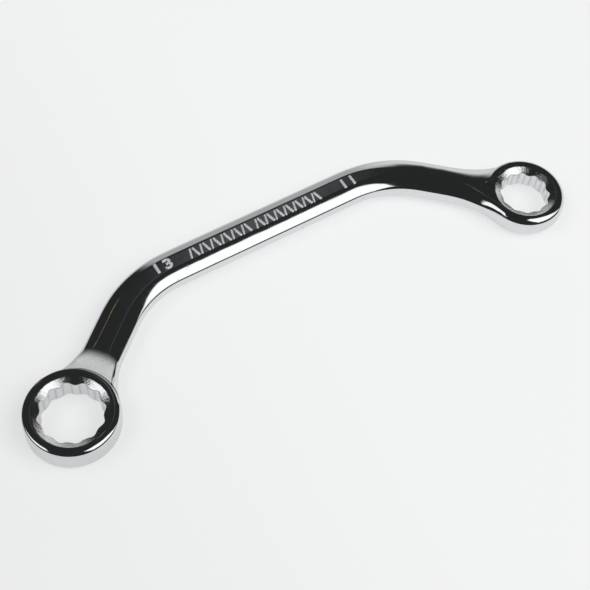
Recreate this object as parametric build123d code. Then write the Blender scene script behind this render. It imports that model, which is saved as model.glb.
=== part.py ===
from build123d import *
import os
from math import cos, hypot, pi, radians, sin, sqrt, tan

# A double-ended obstruction spanner: one drop forging, whose bowed shank joins two twelve-point rings.
# Lengths are in millimetres. The spanner lies flat: X runs from the large ring to the small one, Y to the
# outside of the bow, and Z up. It is built about its mid plane and half way between the rings.

# Overall
head_spacing = 124.5
large_arm_run = 27.7
large_arm_rise = 23.8
small_arm_run = 27.45
small_arm_rise = 24.2
bend_radius = 26.2

# Large head
large_across_flats = 13.0
large_head_diameter = 21.5
large_head_height = 6.6
large_rim_round = 1.3
large_mouth_diameter = 17.2
large_opening_turn = 13.0
large_neck_fillet = 19.0

# Small head
small_across_flats = 11.0
small_head_diameter = 20.4
small_head_height = 6.0
small_rim_round = 1.4
small_mouth_diameter = 15.5
small_opening_turn = 28.0
small_neck_fillet = 28.0

# What both openings have alike
flats_clearance = 0.1
notch_round = 0.85
lobe_round = 1.2
mouth_slope = 23.0
nut_corners = 6

# Shank section: a flat, a sloping shoulder on each side of it and a narrow upright edge
shank_width = 9.1
shank_height = 5.5
shank_flat_width = 3.8
shank_edge_height = 1.6
flat_edge_round = 0.35
side_edge_round = 0.5

# Necks, where the shank widens into a head
neck_meeting_angle = 12.0
neck_lead = 1.5
neck_steps = 4
neck_shoulder_width = 1.9
neck_edge_height = 3.6
neck_seat = 0.3

# Hollow round the large head, which parts the shank's flat from the rim and bites a little into the rim's round
hollow_round = 5.5
hollow_slope = 35.0
hollow_bite = 0.06

cut_overrun = 1.0
quarter_turn = 90.0

half_spacing = head_spacing / 2
large_centre = Vector(-half_spacing, 0)
small_centre = Vector(half_spacing, 0)
large_corner = large_centre + Vector(large_arm_run, large_arm_rise)
small_corner = small_centre + Vector(-small_arm_run, small_arm_rise)
large_arm = (large_corner - large_centre).normalized()
small_arm = (small_corner - small_centre).normalized()


def mix(start, end, share):
    return start + (end - start) * share


def eased(share):
    """Go from 0 to 1 with level ends."""
    return share * share * (3 - 2 * share)


def shank_section(width, height, flat_width, edge_height):
    """The shank's eight-sided section, upright, with its edges rounded."""
    half_width, half_height = width / 2, height / 2
    half_flat, half_edge = flat_width / 2, edge_height / 2
    quarter = [(half_flat, half_height), (half_width, half_edge)]
    right = quarter + [(x, -y) for x, y in reversed(quarter)]
    left = [(-x, y) for x, y in reversed(right)]
    section = make_face(Polyline(*right, *left, close=True))
    for corner, size in ((quarter[0], flat_edge_round), (quarter[1], side_edge_round)):
        alike = [v for v in section.vertices() if hypot(abs(v.X) - corner[0], abs(v.Y) - corner[1]) < size / 2]
        section = fillet(alike, size)
    return section


def across(centre, arm, distance):
    """The plane square to an arm, at a distance from its head's centre, with its Y upward."""
    return Plane(origin=centre + arm * distance, x_dir=Vector(-arm.Y, arm.X), z_dir=arm)


def plain_section():
    return shank_section(shank_width, shank_height, shank_flat_width, shank_edge_height)


def neck_reach(head_diameter, neck_fillet):
    """How far from the head's centre the fillet in plan leaves the shank, and where it is deepest in the head."""
    radius = head_diameter / 2
    apart = sqrt(radius**2 + neck_fillet**2 + 2 * radius * neck_fillet * cos(radians(neck_meeting_angle)))
    start = sqrt(apart**2 - (shank_width / 2 + neck_fillet) ** 2)
    return start, start * (1 - neck_fillet / apart)


def neck(centre, arm, head_diameter, head_height, neck_fillet):
    """The shank widened into a head, its shoulders turning upright as its flat spreads."""
    start, end = neck_reach(head_diameter, neck_fillet)
    sections = [across(centre, arm, start + neck_lead) * plain_section()]
    for step in range(neck_steps + 1):
        share = step / neck_steps
        distance = mix(start, end, share)
        width = shank_width + 2 * (neck_fillet - sqrt(neck_fillet**2 - (start - distance) ** 2))
        shoulder = mix((shank_width - shank_flat_width) / 2, neck_shoulder_width, eased(share))
        section = shank_section(
            width,
            mix(shank_height, head_height - 2 * neck_seat, eased(share)),
            width - 2 * shoulder,
            mix(shank_edge_height, neck_edge_height, eased(share)),
        )
        sections.append(across(centre, arm, distance) * section)
    return loft(sections)


def shank():
    """The bowed bar between the necks."""
    ends = []
    for centre, arm, diameter, neck_fillet in (
        (large_centre, large_arm, large_head_diameter, large_neck_fillet),
        (small_centre, small_arm, small_head_diameter, small_neck_fillet),
    ):
        ends.append(centre + arm * (neck_reach(diameter, neck_fillet)[0] + neck_lead))
    path = FilletPolyline(ends[0], large_corner, small_corner, ends[1], radius=bend_radius)
    start = across(large_centre, large_arm, (ends[0] - large_centre).length)
    return sweep(start * plain_section(), path)


def hollow():
    """The groove turned round the large head, above and below, from inside the rim's round to the shank's flat."""
    top = large_head_height / 2
    ceiling = top + cut_overrun
    slope = Vector(sin(radians(hollow_slope)), cos(radians(hollow_slope)))
    rim_centre = Vector(large_head_diameter / 2 - large_rim_round, top - large_rim_round)
    start = rim_centre + slope * (large_rim_round - hollow_bite)
    hollow_centre = start + slope * hollow_round
    lowest = (hollow_centre.X, hollow_centre.Y - hollow_round)
    outer = hollow_centre.X + sqrt(hollow_round**2 - (hollow_centre.Y - ceiling) ** 2)
    curve = ThreePointArc((start.X, start.Y), lowest, (outer, ceiling))
    outline = curve + Polyline(curve @ 1, (0, ceiling), (0, start.Y), curve @ 0)
    groove = revolve(Plane.XZ * make_face(outline), Axis.Z)
    groove = Pos(large_centre) * groove
    return groove + mirror(groove, about=Plane.XY)


def head(centre, diameter, height, rim_round):
    """A disc turned from its upper half outline, whose rim is rounded, and the same again below."""
    radius, top = diameter / 2, height / 2
    inner, low = radius - rim_round, top - rim_round
    rim = EllipticalCenterArc((inner, low), rim_round, rim_round, start_angle=0, arc_size=quarter_turn)
    outline = Polyline(rim @ 1, (0, top), (0, 0), (radius, 0), rim @ 0)
    upper = revolve(Plane.XZ * make_face(rim + outline), Axis.Z)
    return Pos(centre) * (upper + mirror(upper, about=Plane.XY))


def opening(centre, across_flats, height, mouth_diameter, turn):
    """Two nut hexagons laid over each other, with rounded corners, and a sloped mouth on each face."""
    flat_distance = (across_flats + flats_clearance) / 2
    corner_pitch = pi / nut_corners
    notch = flat_distance / cos(corner_pitch)
    lobe = flat_distance / cos(corner_pitch / 2)
    points = []
    for corner in range(2 * nut_corners):
        for radius, angle in ((notch, corner * corner_pitch), (lobe, (corner + 1 / 2) * corner_pitch)):
            points.append((radius * cos(angle), radius * sin(angle)))
    star = make_face(Polyline(*points, close=True))
    for radius, size in ((notch, notch_round), (lobe, lobe_round)):
        alike = [v for v in star.vertices() if abs(hypot(v.X, v.Y) - radius) < (notch - lobe) / 4]
        star = fillet(alike, size)
    through = extrude(star, amount=height / 2 + cut_overrun, both=True)
    mouth_radius = mouth_diameter / 2
    top = height / 2
    slope = tan(radians(mouth_slope))
    mouth_outline = Polyline(
        (0, top - mouth_radius * slope),
        (mouth_radius + cut_overrun, top + cut_overrun * slope),
        (0, top + cut_overrun * slope),
        close=True,
    )
    mouth = revolve(Plane.XZ * make_face(mouth_outline), Axis.Z)
    return Pos(centre) * Rot(0, 0, turn) * (through + mouth + mirror(mouth, about=Plane.XY))


def spanner():
    bar = shank()
    bar += neck(large_centre, large_arm, large_head_diameter, large_head_height, large_neck_fillet)
    bar += neck(small_centre, small_arm, small_head_diameter, small_head_height, small_neck_fillet)
    bar -= hollow()
    forging = bar + head(large_centre, large_head_diameter, large_head_height, large_rim_round)
    forging += head(small_centre, small_head_diameter, small_head_height, small_rim_round)
    forging -= opening(
        large_centre, large_across_flats, large_head_height, large_mouth_diameter, large_opening_turn
    )
    forging -= opening(
        small_centre, small_across_flats, small_head_height, small_mouth_diameter, small_opening_turn
    )
    return forging


def stand(forging):
    """Bring the middle of the footprint to the origin and the lowest face to Z 0."""
    footprint = forging.bounding_box()
    return Pos(-footprint.center().X, -footprint.center().Y, -footprint.min.Z) * forging


os.makedirs("parts", exist_ok=True)
forging = stand(spanner())
export_step(forging, "parts/spanner_forging.step")
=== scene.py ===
from math import atan2, cos, degrees, hypot, radians, sin, sqrt, tan

import bmesh
import bpy
from mathutils import Matrix, Vector


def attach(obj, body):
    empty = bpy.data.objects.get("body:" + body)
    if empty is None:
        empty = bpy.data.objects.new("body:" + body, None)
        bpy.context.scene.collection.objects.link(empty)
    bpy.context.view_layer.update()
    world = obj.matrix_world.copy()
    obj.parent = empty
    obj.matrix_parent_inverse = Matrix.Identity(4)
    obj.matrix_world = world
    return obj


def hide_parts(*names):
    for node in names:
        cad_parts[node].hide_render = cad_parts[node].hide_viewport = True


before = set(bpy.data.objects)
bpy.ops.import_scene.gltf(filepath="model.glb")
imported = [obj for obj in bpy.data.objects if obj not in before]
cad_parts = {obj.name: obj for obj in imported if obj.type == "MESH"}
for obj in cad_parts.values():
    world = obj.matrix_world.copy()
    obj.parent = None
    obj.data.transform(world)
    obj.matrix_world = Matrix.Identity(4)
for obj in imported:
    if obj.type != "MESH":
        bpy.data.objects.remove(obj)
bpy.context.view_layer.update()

MM = 0.001

# View of the photograph
camera_place = Vector((-0.09582, -0.12444, 0.23659))
camera_heading, camera_tilt, camera_roll = radians(-37.97), radians(32.863), radians(7.419)
camera_lens, camera_sensor, camera_near = 72.24, 36, 0.01

# Table, whose glow isn't the same for the camera and for what the plate mirrors. The glow is painted light:
# for the camera it is painted dimmer towards one corner as shade, and what the plate mirrors is a painted
# reflection, dimmer still and dark beyond the far run. A run gives the two places along an axis, in metres,
# between which one glow turns into the next.
floor_side = 8.0
table_white, table_roughness, table_shine = (0.20, 0.20, 0.20, 1), 0.9, 0.1
table_glow = (0.655, 0.66, 0.665, 1)
corner_glow = (0.595, 0.60, 0.60, 1)
corner_run = (-0.10, 0.02)
mirrored_glow = (0.59, 0.60, 0.60, 1)
mirrored_corner_glow = (0.48, 0.495, 0.49, 1)
mirrored_run = (-0.065, -0.03)
far_table_glow = (0.24, 0.245, 0.25, 1)
far_run = (0.022, 0.085)

# Room. Lights and walls round the spanner are patches of the sky: azimuth and elevation of their corners in
# degrees, softness of their edges, and colour. A later patch covers an earlier one.
backdrop_white = (0.86, 0.865, 0.87, 1)
ceiling_black = (0.022, 0.024, 0.024, 1)
PATCHES = {
    "ceiling_glow": (((50, 48), (50, 66), (62, 66), (62, 48)), 0.05, (0.085, 0.089, 0.091, 1)),
    "dim_wall": (((40, -14), (50, 24), (80, 21), (84, 3), (84, -12)), 0.07, (0.44, 0.44, 0.44, 1)),
    "bright_wall": (
        ((-30, -12), (-30, 10), (10, 20), (46, 24), (56, 18), (62, -14), (20, -20)),
        0.09, (0.76, 0.755, 0.75, 1),
    ),
    "low_warm_bulb": (((25, 20), (25, 23), (28, 23), (28, 20)), 0.012, (0.9, 0.6, 0.28, 1)),
    "high_warm_bulb": (((84, 45), (84, 49), (88, 49), (88, 45)), 0.012, (0.9, 0.6, 0.28, 1)),
    "right_reflector": (((-84, 26), (-82, 38), (-28, 38), (-22, 14)), 0.03, (0.95, 0.955, 0.96, 1)),
    "right_softbox": (
        ((-88, 46), (-92, 66), (-50, 74), (-24, 62), (-26, 44), (-30, 28), (-82, 30)),
        0.02, (1.25, 1.25, 1.25, 1),
    ),
    "left_softbox": (
        ((138, 36), (156, 60), (174, 64), (-172, 52), (-161, 38), (-162, 30), (165, 30)),
        0.025, (1.15, 1.15, 1.15, 1),
    ),
}

# Lamps for the shadows and the table: azimuth and elevation in degrees, width and height in metres, watts
lamp_distance = 1.5
LAMPS = {
    "right_softbox": (-47, 52, 1.2, 0.95, 16),
    "left_softbox": (158, 60, 1.2, 0.75, 9),
    "fill": (0, 90, 3.0, 3.0, 6),
}

# Forging, in millimetres, on the solid's ring centres. Heights run from the mid plane.
large_centre = Vector((-61.975, -8.971, 0))
small_centre = Vector((62.525, -8.971, 0))
large_corner = large_centre + Vector((27.7, 23.65, 0))
small_corner = small_centre + Vector((-27.45, 24.05, 0))
rings_middle = (large_centre + small_centre) / 2
bend_radius = 26.2
shank_half_width, shank_half_height = 4.7, 2.75
mid_plane = 3.3
neck_lead = 1.5

# Heads. rim_swing is how much fuller the rim's round is towards the bearing rim_turn. The neck leaves the rows
# at the angles of closed_rounds bare and covers those of open_rounds. neck_rows are distances from the centre
# on the large head, and shares of the way from ring to shank on the small one. half_flat and half_edge shape
# the arm's section, and middle_sides has the same two for each side of the middle. mouth_finish is where the
# mouth's rougher finish ends and where it is full.
LARGE = dict(
    centre=large_centre, corner=large_corner, far_corner=small_corner, flat_distance=6.55, turn=13.0,
    radius=10.75, half_height=3.3, rim_round=1.0, rim_swing=0.45, rim_turn=-80.0, mouth=8.75, annulus=9.15,
    neck_fillet=19.0, closed_rounds=(0, 30), open_rounds=(45, 60, 75, 90), neck_start=17.73,
    neck_rows=(17.2, 15.75, 15.3, 14.9, 13.6, 12.0, 10.4, 9.0),
    half_flat=1.95, half_edge=1.3, middle_sides=((1.95, 1.3), (1.65, 1.3)), mouth_finish=(8.9, 8.4),
)
SMALL = dict(
    centre=small_centre, corner=small_corner, far_corner=large_corner, flat_distance=5.55, turn=28.0,
    radius=10.2, half_height=3.0, rim_round=1.6, rim_swing=0.45, rim_turn=-115.0, mouth=7.8, annulus=8.08,
    neck_fillet=28.0, closed_rounds=(), open_rounds=(0, 30, 60, 90), neck_start=19.43,
    neck_rows=(0.83, 0.66, 0.5, 0.34, 0.17),
    half_flat=0.6, half_edge=1.7, middle_sides=((1.65, 1.3), (1.95, 1.3)), mouth_finish=(8.1, 7.6),
)

# Corners of the mesh: columns round a head, and the chain of corners over one section of the shank, whose
# columns are numbered from CHAIN on. Corners closer than touching are in one place.
touching = 0.01
smoothing = 2
HEAD_COLUMNS = 72
COLUMN_STEP = radians(360 / HEAD_COLUMNS)
NECK_COLUMN = 12
SIDE_CORNERS = 6
FLAT_CORNERS = 13
LAST = 2 * SIDE_CORNERS + FLAT_CORNERS - 1
CHAIN = 1000

# Openings: radii over one of the twelve points, as shares of the distance to a flat, rows just under the
# wall's upper edge, and rows up the mouth's slope
STAR_SHARES = (1.140, 1.110, 1.056, 1.036, 1.056, 1.110)
edge_drops = (0.22, 0.02)
slope_shares = (0.12, 0.4, 0.7, 0.92)
mouth_slope = tan(radians(29))
mouth_lip = 0.1

# Shank: corners that hold its edges, the swell of its shoulders, and rows on an arm, a bend and half of the
# middle
edge_support, flat_support, shoulder_swell = 0.4, 0.22, 0.12
arm_share, bend_support = 0.45, 1.6
bend_steps = 7
middle_shares = (0, 0.08, 0.34, 0.67, 1)

# Large neck, with the hollow beside the ring
hollow_round, hollow_slope = 5.5, radians(35)
large_neck_reach = 6.0
large_neck_edge, large_neck_shoulder = 1.8, 1.9

# Small neck beside the ring. A turn is the stretch of the way to the shank, as two shares of it, over which a
# side takes on the arm's shape.
near_neck_edge, near_neck_shoulder = 1.2, 1.95
far_neck_edge, far_neck_flat = 1.35, 1.2
near_turn, far_turn = (0, 0.6), (0, 0.3)
near_edge_turn, near_shoulder_turn = (0.25, 0.65), (0.25, 0.75)

# Raised marks on the middle's flat. mark_rise is how far their line is from the rings'.
mark_rise, mark_height, mark_turn = 23.75, 0.26, radians(0.33)
mark_soft_edge = radians(40)
figure_size, figure_round, figure_offset, figure_spacing, figure_weld = 3.7, 0.11, -0.03, 1.15, 0.001
rib_width, rib_length, rib_round, rib_lean = 0.5, 2.7, 0.13, radians(16)

# Where the plate's finish changes, and where shade is painted. Each pair holds the two distances between which
# a mask rises or falls. The satin neck ends at a crease along its near side, which leans away from the arm and
# is painted dark as shade. A seam parts it from the ring, and is painted dark as shade too.
satin_inside, satin_outside = (10.5, 10.9), (16.4, 13.1)
satin_outward, satin_edgeward = (6.6, 8.2), (7.5, 7.2)
crease_lean = 0.227
crease_near, crease_far = (7.05, 7.3), (7.6, 7.4)
crease_start, crease_end = (9.5, 10.4), (15.0, 12.5)
seam_inside, seam_outside, seam_outward = (10.28, 10.40), (10.95, 10.62), (5.5, 8.0)
marks_above_flat, marks_along = (0.03, 0.11), (37.0, 36.0)
wall_line_share, wall_line, wall_line_height = 1.078, (0.02, 0.18), (2.0, 2.3)

# Noises of the plate: how many to the millimetre, detail and roughness. A level is the pair of values of a
# noise between which its effect sets in.
grain_noise, blotch_noise = (9.0, 2.0, 0.6), (0.7, 3.0, 0.6)
pit_noise, wave_noise = (2.6, 2.0, 0.7), (0.14, 2.0, 0.5)
grain_level, haze_level, smudge_level = (0.4, 0.7), (0.35, 0.7), (0.35, 0.65)
scratch_noise, scratch_stretch = (1.0, 1.0, 0.5), (0.055, 0.62, 0.3)
scratch_thread, scratch_level = 0.012, (0.45, 0.6)

# What the finish does: roughness, loss of metal shine, darkening, depth in millimetres, and colours. The
# darkening of the crease and seam, and the dark tint, are painted shade; the same tint also darkens the wall
# lines and scratches.
plate_rough = (0.035, 0.075)
grain_rough, mouth_rough, satin_rough, mark_rough = 0.03, 0.03, 0.38, 0.25
satin_matt, mark_matt = 0.75, 0.45
crease_painted_shade, line_dark, scratch_dark = 0.8, 0.2, 0.2
pit_depth, wave_depth, grain_depth = 0.05, 0.04, 0.0012
plate_tint, shade_and_scratch_tint = (0.80, 0.81, 0.82, 1), (0.05, 0.05, 0.05, 1)
satin_tints = (0.56, 0.565, 0.57, 1), (0.63, 0.635, 0.64, 1)


def mix(start, end, share):
    return start + (end - start) * share


def eased(share, start=0.0, end=1.0):
    """Go from 0 to 1 with level ends as the share goes from start to end."""
    share = min(max((share - start) / (end - start), 0), 1)
    return share * share * (3 - 2 * share)


def polar(radius, angle, height=0.0):
    return Vector((radius * cos(angle), radius * sin(angle), height))


def heading(azimuth, elevation, distance):
    flat = cos(elevation) * distance
    return Vector((flat * cos(azimuth), flat * sin(azimuth), sin(elevation) * distance))


def number_columns(piece, number):
    """Give each corner of a new primitive its column, which every row extruded from it takes over."""
    columns = piece.data.attributes.new("column", "INT", "POINT")
    for corner, column in zip(piece.data.vertices, columns.data):
        column.value = number(corner.co)


def edit_corners(change):
    """Let the change act on each corner of the mesh in edit mode, given its column."""
    data = bpy.context.object.data
    mesh = bmesh.from_edit_mesh(data)
    column = mesh.verts.layers.int["column"]
    for corner in mesh.verts:
        change(corner, corner[column])
    mesh.select_flush_mode()
    bmesh.update_edit_mesh(data)


def pick(test):
    """Select the corners, and the edges between them, that the test says yes to."""
    def choose(corner, column):
        corner.select = bool(test(corner.co, column))
    bpy.ops.mesh.select_all(action="DESELECT")
    edit_corners(choose)


def keep(test):
    """Leave selected only the picked corners whose columns the test says yes to."""
    def choose(corner, column):
        corner.select = corner.select and test(column)
    edit_corners(choose)


def put(place):
    """Move the picked corners to where their columns belong in the row."""
    def move(corner, column):
        if corner.select:
            corner.co = place(column)
    edit_corners(move)


def next_row(place):
    bpy.ops.mesh.extrude_edges_move()
    put(place)


def select_only(*pieces):
    """Select these pieces, and make the first the active one."""
    bpy.ops.object.select_all(action="DESELECT")
    for piece in pieces:
        piece.select_set(True)
    bpy.context.view_layer.objects.active = pieces[0]


def arm_of(head):
    return head["corner"] - head["centre"]


def bearing(head):
    arm = arm_of(head)
    return atan2(arm.y, arm.x)


def rim_size(head, column):
    """The rim's round, which polishing has left fuller on one side of the ring than on the other."""
    turn = column * COLUMN_STEP + bearing(head) - radians(head["rim_turn"])
    return head["rim_round"] + head["rim_swing"] * cos(turn)


def rim(head, angle, column):
    """Radius and height on the rounded rim, from 0 at the face to 90 degrees at the wall."""
    size = rim_size(head, column)
    return (
        head["radius"] - size * (1 - sin(radians(angle))),
        head["half_height"] - size * (1 - cos(radians(angle))),
    )


def side_profile(head, column):
    """Radii and heights of a head's side, from the mid plane up to where the neck's flat begins."""
    radius, low = head["radius"], head["half_height"] - rim_size(head, column)
    return [(radius, 0), (radius, low / 2)] + [rim(head, a, column) for a in reversed(head["open_rounds"])]


def add_head(head):
    """The upper half of a ring: opening, mouth, face, rim and wall, which goes on inside the neck."""
    bpy.ops.object.select_all(action="DESELECT")
    bpy.ops.mesh.primitive_circle_add(vertices=HEAD_COLUMNS, radius=head["flat_distance"])
    piece = bpy.context.object
    number_columns(piece, lambda co: round(atan2(co.y, co.x) / COLUMN_STEP) % HEAD_COLUMNS)
    turn = radians(head["turn"]) - bearing(head)
    phase = round(turn / COLUMN_STEP)
    offset = turn - phase * COLUMN_STEP
    top, mouth = head["half_height"], head["mouth"]

    def star(column):
        """Radius of the opening's wall, and the height that its upper edge has there."""
        radius = head["flat_distance"] * STAR_SHARES[(column - phase) % len(STAR_SHARES)]
        return radius, top - (mouth - radius) * mouth_slope

    def wall(share, drop=0.0):
        def place(column):
            radius, edge = star(column)
            return polar(radius, column * COLUMN_STEP + offset, edge * share - drop)
        return place

    def slope(share):
        def place(column):
            radius, edge = star(column)
            return polar(mix(radius, mouth, share), column * COLUMN_STEP + offset, mix(edge, top, share))
        return place

    def ring(radius, twist=0.0):
        return lambda column: polar(radius, column * COLUMN_STEP + twist, top)

    def outside(profile):
        def place(column):
            radius, height = profile(column)
            return polar(radius, column * COLUMN_STEP, height)
        return place

    bpy.ops.object.mode_set(mode="EDIT")
    bpy.ops.mesh.select_mode(type="VERT")
    bpy.ops.mesh.select_all(action="SELECT")
    put(wall(0))
    rows = [wall(0.5)] + [wall(1, drop) for drop in edge_drops] + [slope(share) for share in slope_shares]
    for place in rows:
        next_row(place)
    next_row(ring(mouth + mouth_lip, offset))
    next_row(ring(head["annulus"]))
    keep(lambda column: column % 2 == 1)
    bpy.ops.mesh.dissolve_verts()
    pick(lambda co, column: hypot(co.x, co.y) > head["annulus"] - touching)
    for angle in head["closed_rounds"]:
        next_row(outside(lambda column: rim(head, angle, column)))
    for level in reversed(range(2 + len(head["open_rounds"]))):
        next_row(outside(lambda column: side_profile(head, column)[level]))
    bpy.ops.object.mode_set(mode="OBJECT")
    return piece


def section_side(half_width, half_height, half_flat, half_edge):
    """Across and up of the corners on one side of a section, two of them near each of its edges."""
    foot, brow = Vector((half_width, half_edge)), Vector((half_flat, half_height))
    shoulder = (brow - foot).normalized()
    return (
        (half_width, 0),
        (half_width, half_edge - edge_support),
        foot + shoulder * edge_support,
        (foot + brow) / 2 + Vector((shoulder.y, -shoulder.x)) * shoulder_swell,
        brow - shoulder * flat_support,
        (half_flat - flat_support, half_height),
    )


def section(corner, half_width, half_height, near, far=None):
    """Across and up of one corner of the chain over a section, from each side's half flat and half edge."""
    near_side = section_side(half_width, half_height, *near)
    far_side = section_side(half_width, half_height, *(far or near))
    if corner < SIDE_CORNERS:
        return tuple(near_side[corner])
    if corner > LAST - SIDE_CORNERS:
        across, up = far_side[LAST - corner]
        return -across, up
    share = (corner - SIDE_CORNERS + 1) / (FLAT_CORNERS + 1)
    return mix(near_side[-1][0], -far_side[-1][0], share), half_height


def plain_row(head, distance, to_middle=0.0, hub=None, turn=0.0):
    """A row of the bar, whose section goes from the arm's to the middle's, turned about the bend's hub."""
    arm_side = Vector((head["half_flat"], head["half_edge"]))
    sides = [tuple(mix(arm_side, Vector(side), to_middle)) for side in head["middle_sides"]]

    def place(column):
        across, up = section(column - CHAIN, shank_half_width, shank_half_height, *sides)
        point = Vector((distance, across, up))
        return point if hub is None else Matrix.Rotation(turn, 3, "Z") @ (point - hub) + hub
    return place


def neck_half_width(head, distance):
    fillet = head["neck_fillet"]
    run = min(max(head["neck_start"] - distance, 0), fillet)
    return shank_half_width + fillet - sqrt(fillet**2 - run**2)


def head_edge(head, corner):
    """The corner of the ring that a corner of the neck's chain meets."""
    if corner > LAST - SIDE_CORNERS:
        radius, height = side_profile(head, -NECK_COLUMN)[LAST - corner]
        return polar(radius, -NECK_COLUMN * COLUMN_STEP, height)
    if corner < SIDE_CORNERS:
        radius, height = side_profile(head, NECK_COLUMN)[corner]
        return polar(radius, NECK_COLUMN * COLUMN_STEP, height)
    column = NECK_COLUMN - 2 * (corner - SIDE_CORNERS)
    radius, height = head["annulus"], head["half_height"]
    if head["closed_rounds"]:
        radius, height = rim(head, head["closed_rounds"][-1], column)
    return polar(radius, column * COLUMN_STEP, height)


def small_neck_row(head, share):
    """A row between the neck's edge on the ring and the plain shank."""
    plain = plain_row(head, head["neck_start"] + neck_lead)
    side = mix(head_edge(head, 0), plain(CHAIN), share)
    half_width = neck_half_width(head, side.x)
    wide = half_width / side.y
    arm_shoulder = shank_half_width - head["half_flat"]
    shoulder = mix(near_neck_shoulder, arm_shoulder, eased(share, *near_shoulder_turn))
    near = half_width - shoulder, mix(near_neck_edge, head["half_edge"], eased(share, *near_edge_turn))
    far = mix(far_neck_flat, head["half_flat"], share), mix(far_neck_edge, head["half_edge"], eased(share))
    half_height = mix(head["half_height"], shank_half_height, share)

    def place(column):
        point = mix(head_edge(head, column - CHAIN), plain(column), share)
        across, up = section(column - CHAIN, half_width, half_height, near, far)
        like_shank = eased(share, *(near_turn if column - CHAIN < LAST / 2 else far_turn))
        return Vector((point.x, mix(point.y * wide, across, like_shank), mix(point.z, up, like_shank)))
    return place


def large_neck_row(head, distance):
    """A row in the hollow, on a circle round the head, or between the hollow and the plain shank."""
    half_width = neck_half_width(head, distance)
    round_radius = hypot(distance, half_width)
    start_radius, start_height = rim(head, degrees(hollow_slope), 0)
    bottom_radius = start_radius + hollow_round * sin(hollow_slope)
    middle_height = start_height + hollow_round * cos(hollow_slope)
    away = round_radius - bottom_radius
    height = middle_height - sqrt(max(hollow_round**2 - away**2, 0))
    height = min(height, shank_half_height)
    share = min(max((head["neck_start"] - distance) / (head["neck_start"] - large_neck_reach), 0), 1)
    half_edge = mix(head["half_edge"], large_neck_edge, share**4)
    shoulder = mix(shank_half_width - head["half_flat"], large_neck_shoulder, share)
    steep = shoulder / (shank_half_height - half_edge)
    half_flat = half_width - shoulder + (shank_half_height - height) * steep

    def place(column):
        across, up = section(column - CHAIN, half_width, height, (half_flat, half_edge))
        return Vector((sqrt(round_radius**2 - across**2), across, up))
    return place


def add_arm(head, neck_rows):
    """The neck, the arm, the bend and half of the middle, grown from one strip."""
    arm, middle = arm_of(head), head["far_corner"] - head["corner"]
    turn = arm.to_2d().angle_signed(middle.to_2d())
    tangent = bend_radius * tan(abs(turn) / 2)
    start, bend = head["neck_start"] + neck_lead, arm.length - tangent
    bpy.ops.object.select_all(action="DESELECT")
    bpy.ops.mesh.primitive_grid_add(x_subdivisions=LAST, y_subdivisions=1, size=2)
    piece = bpy.context.object
    number_columns(piece, lambda co: CHAIN + round((co.x + 1) / 2 * LAST))
    bpy.ops.object.mode_set(mode="EDIT")
    bpy.ops.mesh.select_mode(type="VERT")
    pick(lambda co, column: co.y < 0)
    put(plain_row(head, start))
    pick(lambda co, column: co.x < start / 2)
    put(plain_row(head, mix(start, bend, arm_share)))
    next_row(plain_row(head, bend - bend_support))
    next_row(plain_row(head, bend))
    hub = Vector((bend, bend_radius if turn < 0 else -bend_radius, 0))
    for step in range(bend_steps):
        done = (step + 1) / bend_steps
        next_row(plain_row(head, bend, eased(done), hub, -turn * done))
    onward = Matrix.Rotation(-turn, 3, "Z") @ Vector((1, 0, 0))
    run = middle.length / 2 - tangent
    for before, share in zip(middle_shares, middle_shares[1:]):
        bpy.ops.mesh.extrude_edges_move(
            TRANSFORM_OT_translate={"value": onward * run * (share - before)}
        )
    pick(lambda co, column: abs(co.x - start) < touching)
    for place in neck_rows:
        next_row(place)
    bpy.ops.object.mode_set(mode="OBJECT")
    return piece


def add_half(head, neck_rows):
    """A head and its half of the bar, joined and turned to lie on the spanner."""
    ring = add_head(head)
    bar = add_arm(head, neck_rows)
    select_only(bar, ring)
    bpy.ops.object.join()
    bpy.ops.object.mode_set(mode="EDIT")
    edge = [head_edge(head, corner) for corner in range(LAST + 1)]
    last_row = [neck_rows[-1](CHAIN + corner) for corner in range(LAST + 1)]
    pick(lambda co, column: min((co - p).length for p in edge + last_row) < touching)
    bpy.ops.mesh.bridge_edge_loops()
    bpy.ops.object.mode_set(mode="OBJECT")
    bar.rotation_euler.z = bearing(head)
    bar.location = head["centre"]
    bpy.ops.object.transform_apply()
    return bar


def model_forging():
    """The upper half of the forging, mirrored about the mid plane and smoothed."""
    forging = add_half(LARGE, [large_neck_row(LARGE, distance) for distance in LARGE["neck_rows"]])
    small_half = add_half(SMALL, [small_neck_row(SMALL, share) for share in SMALL["neck_rows"]])
    select_only(forging, small_half)
    bpy.ops.object.join()
    forging.name = "forging_body"
    bpy.ops.object.mode_set(mode="EDIT")
    bpy.ops.mesh.select_all(action="SELECT")
    bpy.ops.mesh.remove_doubles(threshold=touching)
    bpy.ops.object.mode_set(mode="OBJECT")
    mirror = forging.modifiers.new("lower half", "MIRROR")
    mirror.use_axis = (False, False, True)
    mirror.merge_threshold = touching
    bpy.ops.object.modifier_apply(modifier=mirror.name)
    bpy.ops.object.mode_set(mode="EDIT")
    bpy.ops.mesh.select_all(action="SELECT")
    bpy.ops.mesh.normals_make_consistent(inside=False)
    bpy.ops.object.mode_set(mode="OBJECT")
    smooth = forging.modifiers.new("smooth", "SUBSURF")
    smooth.levels = smooth.render_levels = smoothing
    bpy.ops.object.modifier_apply(modifier=smooth.name)
    bpy.ops.object.shade_smooth()
    forging.data.attributes.remove(forging.data.attributes["column"])
    forging.scale = (MM, MM, MM)
    forging.location.z = mid_plane * MM
    bpy.ops.object.transform_apply()
    return forging


def settle(piece, run):
    """Put a raised mark on the middle's flat, this far along it, and apply its place."""
    select_only(piece)
    piece.scale = (MM, MM, MM)
    piece.rotation_euler.z = mark_turn
    piece.location = (rings_middle + Vector((run, mark_rise, mid_plane + shank_half_height))) * MM
    bpy.ops.object.transform_apply()
    bpy.ops.object.shade_smooth_by_angle(angle=mark_soft_edge)
    piece.data.materials.append(plate)
    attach(piece, "root")


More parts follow.
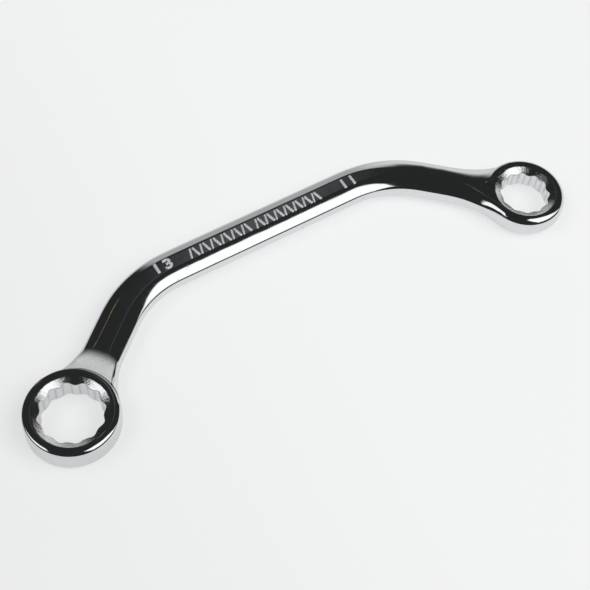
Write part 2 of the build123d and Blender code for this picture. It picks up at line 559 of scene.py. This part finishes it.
def add_number(name, words, run, width):
    """A size in raised figures, swollen like forged ones."""
    bpy.ops.object.select_all(action="DESELECT")
    bpy.ops.object.text_add()
    piece = bpy.context.object
    piece.name = name
    figures = piece.data
    figures.body = words
    figures.size = figure_size
    figures.align_x, figures.align_y = "CENTER", "CENTER"
    figures.extrude = mark_height / 2
    figures.bevel_depth, figures.bevel_resolution = figure_round, 2
    figures.offset = figure_offset
    figures.space_character = figure_spacing
    bpy.ops.object.convert(target="MESH")
    bpy.ops.object.mode_set(mode="EDIT")
    bpy.ops.mesh.select_all(action="SELECT")
    bpy.ops.mesh.remove_doubles(threshold=figure_weld)
    bpy.ops.mesh.normals_make_consistent(inside=False)
    bpy.ops.transform.resize(value=(width / piece.dimensions.x, 1, 1), center_override=(0, 0, 0))
    bpy.ops.object.mode_set(mode="OBJECT")
    settle(piece, run)


def add_ribs(name, start, end, count):
    """A run of raised ribs, leaning to and fro in pairs."""
    pitch = (end - start) / (2 * count - 1)
    bpy.ops.object.select_all(action="DESELECT")
    bpy.ops.mesh.primitive_cube_add(size=1)
    piece = bpy.context.object
    piece.name = name
    bpy.ops.object.mode_set(mode="EDIT")
    bpy.ops.mesh.select_all(action="SELECT")
    bpy.ops.transform.resize(value=(rib_width, rib_length, 2 * mark_height), center_override=(0, 0, 0))
    bpy.ops.mesh.bevel(offset=rib_round, segments=3, affect="EDGES")
    bpy.ops.transform.rotate(value=rib_lean, orient_axis="Z", center_override=(0, 0, 0))
    bpy.ops.mesh.duplicate_move(TRANSFORM_OT_translate={"value": (pitch, 0, 0)})
    bpy.ops.transform.rotate(value=-2 * rib_lean, orient_axis="Z", center_override=(pitch, 0, 0))
    bpy.ops.object.mode_set(mode="OBJECT")
    row = piece.modifiers.new("row", "ARRAY")
    row.count = count
    row.use_relative_offset, row.use_constant_offset = False, True
    row.constant_offset_displace = (2 * pitch, 0, 0)
    bpy.ops.object.modifier_apply(modifier=row.name)
    settle(piece, start)


def add_camera():
    data = bpy.data.cameras.new("camera")
    data.lens = camera_lens
    data.sensor_width = camera_sensor
    data.clip_start = camera_near
    camera = bpy.data.objects.new("camera", data)
    turn = Matrix.Rotation(camera_heading, 4, "Z")
    turn = turn @ Matrix.Rotation(camera_tilt, 4, "X") @ Matrix.Rotation(camera_roll, 4, "Z")
    camera.matrix_world = Matrix.Translation(camera_place) @ turn
    bpy.context.scene.collection.objects.link(camera)
    bpy.context.scene.camera = camera


def add_lamp(name, azimuth, elevation, width, height, power):
    """A lamp for the shadows and the table; the plate mirrors the room's patches in its place."""
    data = bpy.data.lights.new(name, "AREA")
    data.shape = "RECTANGLE"
    data.size, data.size_y = width, height
    data.energy = power
    lamp = bpy.data.objects.new(name, data)
    place = heading(radians(azimuth), radians(elevation), lamp_distance)
    lamp.location = place
    lamp.rotation_euler = place.to_track_quat("Z", "Y").to_euler()
    lamp.visible_glossy = False
    bpy.context.scene.collection.objects.link(lamp)


def node(tree, kind, *values, **settings):
    """A node with its settings, whose inputs in turn take a constant, another node's output or nothing."""
    made = tree.nodes.new("ShaderNode" + kind)
    for name, value in settings.items():
        setattr(made, name, value)
    sockets = [s for s in made.inputs if s.enabled]
    for socket, value in zip(sockets, values):
        if isinstance(value, bpy.types.NodeSocket):
            tree.links.new(value, socket)
        elif value is not None:
            socket.default_value = value
    return next((s for s in made.outputs if s.enabled), None)


def maths(tree, operation, *values):
    return node(tree, "Math", *values, operation=operation)


def vectors(tree, operation, *values):
    return node(tree, "VectorMath", *values, operation=operation)


def ramp(tree, value, low, high, start=0.0, end=1.0):
    """Go smoothly from start to end as the value goes from low to high."""
    return node(tree, "MapRange", value, low, high, start, end, interpolation_type="SMOOTHSTEP")


def blend(tree, share, first, second, label=""):
    return node(tree, "Mix", share, first, second, data_type="RGBA", label=label)


def product(tree, first, *others):
    for other in others:
        first = maths(tree, "MULTIPLY", first, other)
    return first


def total(tree, start, *masks):
    """The start, with each mask added to it by its weight."""
    for mask, weight in masks:
        start = maths(tree, "MULTIPLY_ADD", mask, weight, start)
    return start


def object_place(tree):
    return tree.nodes.new("ShaderNodeTexCoord").outputs["Object"]


def taken_apart(tree, place):
    """A vector's X, Y and Z."""
    parts = tree.nodes.new("ShaderNodeSeparateXYZ")
    tree.links.new(place, parts.inputs[0])
    return parts.outputs


def patch(tree, way, corners, soft):
    """How much a direction lies in the patch with these corners."""
    ends = [heading(radians(a), radians(e), 1) for a, e in corners]
    middle = sum(ends, Vector())
    insides = []
    for first, second in zip(ends, ends[1:] + ends[:1]):
        edge = first.cross(second).normalized()
        edge = edge if edge.dot(middle) > 0 else -edge
        insides.append(ramp(tree, vectors(tree, "DOT_PRODUCT", way, edge), -soft, soft))
    return product(tree, *insides)


def add_world():
    """The room that the plate mirrors, and a plain backdrop for the camera."""
    world = bpy.data.worlds.new("studio")
    bpy.context.scene.world = world
    world.use_nodes = True
    tree = world.node_tree
    tree.nodes.clear()
    way = tree.nodes.new("ShaderNodeTexCoord").outputs["Generated"]
    light = ceiling_black
    for name, (corners, soft, colour) in PATCHES.items():
        light = blend(tree, patch(tree, way, corners, soft), light, colour, label=name)
    studio = node(tree, "Background", light)
    backdrop = node(tree, "Background", backdrop_white)
    seen = tree.nodes.new("ShaderNodeLightPath").outputs["Is Camera Ray"]
    node(tree, "OutputWorld", node(tree, "MixShader", seen, studio, backdrop))


def add_floor():
    bpy.ops.mesh.primitive_plane_add(size=floor_side)
    floor = bpy.context.object
    floor.name = "floor"
    material = bpy.data.materials.new("floor_white")
    material.use_nodes = True
    tree = material.node_tree
    shader = tree.nodes["Principled BSDF"]
    parts = taken_apart(tree, object_place(tree))
    seen = tree.nodes.new("ShaderNodeLightPath").outputs["Is Camera Ray"]
    mirrored = maths(tree, "SUBTRACT", 1.0, seen)
    # Painted light: the camera sees the glow painted dimmer towards one corner, and the plate mirrors a
    # painted reflection that is dimmer still and dark far off.
    for_camera = blend(tree, ramp(tree, parts["X"], *corner_run), corner_glow, table_glow)
    for_plate = blend(tree, ramp(tree, parts["X"], *mirrored_run), mirrored_corner_glow, mirrored_glow)
    near = blend(tree, mirrored, for_camera, for_plate)
    far = product(tree, ramp(tree, parts["Y"], *far_run), mirrored)
    tree.links.new(blend(tree, far, near, far_table_glow), shader.inputs["Emission Color"])
    shader.inputs["Base Color"].default_value = table_white
    shader.inputs["Emission Strength"].default_value = 1
    shader.inputs["Roughness"].default_value = table_roughness
    shader.inputs["Specular IOR Level"].default_value = table_shine
    floor.data.materials.append(material)


def away_from(tree, place, centre):
    """Distance from a ring's axis."""
    flat = vectors(tree, "MULTIPLY", place, (1, 1, 0))
    return vectors(tree, "DISTANCE", flat, tuple(centre))


def neck_masks(tree, place, radius):
    """The satin neck beside the large ring, and the painted shade of the crease and seam at its sides."""
    arm = arm_of(LARGE).normalized()
    from_centre = vectors(tree, "SUBTRACT", place, tuple(LARGE["centre"]))
    outward = vectors(tree, "DOT_PRODUCT", from_centre, tuple(arm))
    leaning = (arm.y + crease_lean * arm.x, crease_lean * arm.y - arm.x, 0)
    edgeward = vectors(tree, "DOT_PRODUCT", from_centre, leaning)

    def within(value, *runs):
        return product(tree, *(ramp(tree, value, *run) for run in runs))

    satin = within(radius, satin_inside, satin_outside)
    satin = product(tree, satin, within(outward, satin_outward), within(edgeward, satin_edgeward))
    crease = within(edgeward, crease_near, crease_far)
    crease = product(tree, crease, within(outward, crease_start, crease_end))
    seam = product(tree, within(radius, seam_inside, seam_outside), within(outward, seam_outward))
    return satin, maths(tree, "MAXIMUM", crease, seam)


def marks_mask(tree, parts):
    """The tops of the raised marks, which the polishing wheel has passed over lightly."""
    flat_height = mid_plane + shank_half_height
    above = ramp(tree, parts["Z"], *(flat_height + rise for rise in marks_above_flat))
    return product(tree, above, ramp(tree, maths(tree, "ABSOLUTE", parts["X"]), *marks_along))


def wall_lines(tree, parts, radii):
    """Faint lines down the walls of the openings, beside their notches."""
    lines = []
    for head, radius in radii:
        away = maths(tree, "SUBTRACT", radius, wall_line_share * head["flat_distance"])
        lines.append(ramp(tree, maths(tree, "ABSOLUTE", away), *wall_line, 1.0, 0.0))
    height = maths(tree, "ABSOLUTE", maths(tree, "SUBTRACT", parts["Z"], mid_plane))
    return product(tree, maths(tree, "MAXIMUM", *lines), ramp(tree, height, *wall_line_height, 1.0, 0.0))


def scratches(tree, place, blotch):
    """Fine polishing scratches that wander along the bar."""
    drawn = node(tree, "TexNoise", vectors(tree, "MULTIPLY", place, scratch_stretch), *scratch_noise)
    from_middle = maths(tree, "ABSOLUTE", maths(tree, "SUBTRACT", drawn, 0.5))
    threads = ramp(tree, from_middle, 0.0, scratch_thread, 1.0, 0.0)
    return product(tree, threads, ramp(tree, blotch, *scratch_level))


def chrome():
    """Polished plate with a satin neck, roughened mouths, fine grain and slight waves."""
    material = bpy.data.materials.new("chrome_plate")
    material.use_nodes = True
    tree = material.node_tree
    shader = tree.nodes["Principled BSDF"]
    place = vectors(tree, "SCALE", object_place(tree), 1 / MM)
    parts = taken_apart(tree, place)
    radii = [(head, away_from(tree, place, head["centre"])) for head in (LARGE, SMALL)]

    noises = (grain_noise, blotch_noise, pit_noise, wave_noise)
    grain, blotch, pits, wave = (node(tree, "TexNoise", place, *noise) for noise in noises)
    satin, crease = neck_masks(tree, place, radii[0][1])
    marks = marks_mask(tree, parts)
    mouths = maths(tree, "MAXIMUM", *(ramp(tree, radius, *head["mouth_finish"]) for head, radius in radii))

    rough = total(
        tree, ramp(tree, blotch, *haze_level, *plate_rough), (ramp(tree, grain, *grain_level), grain_rough),
        (mouths, mouth_rough), (satin, satin_rough), (marks, mark_rough),
    )
    tree.links.new(rough, shader.inputs["Roughness"])
    tree.links.new(total(tree, 1.0, (satin, -satin_matt), (marks, -mark_matt)), shader.inputs["Metallic"])

    smudged = blend(tree, ramp(tree, blotch, *smudge_level), *satin_tints)
    colour = blend(tree, satin, plate_tint, smudged)
    # The crease and seam beside the large ring are painted shade, laid into the base colour with the wall
    # lines and scratches.
    dark = product(tree, crease, crease_painted_shade)
    for mask, darkness in (
        (wall_lines(tree, parts, radii), line_dark),
        (scratches(tree, place, blotch), scratch_dark),
    ):
        dark = maths(tree, "MAXIMUM", dark, product(tree, mask, darkness))
    tree.links.new(blend(tree, dark, colour, shade_and_scratch_tint), shader.inputs["Base Color"])

    height = product(tree, pits, mouths, pit_depth * MM)
    height = total(tree, height, (wave, wave_depth * MM), (grain, grain_depth * MM))
    bump = tree.nodes.new("ShaderNodeBump")
    tree.links.new(height, bump.inputs["Height"])
    bump.inputs["Strength"].default_value = 1.0
    bump.inputs["Distance"].default_value = 1.0
    tree.links.new(bump.outputs[0], shader.inputs["Normal"])
    return material


add_camera()
add_world()
add_floor()
for name, lamp in LAMPS.items():
    add_lamp(name, *lamp)

plate = chrome()
forging = model_forging()
forging.data.materials.append(plate)
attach(forging, "root")
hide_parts("spanner_forging")
add_number("size_13", "13", run=-27.4, width=4.3)
add_number("size_11", "11", run=24.5, width=3.3)
add_ribs("ribs_left", start=-19.9, end=-4.2, count=6)
add_ribs("ribs_right", start=-1.9, end=15.6, count=7)

bpy.context.scene.view_settings.view_transform = "Standard"
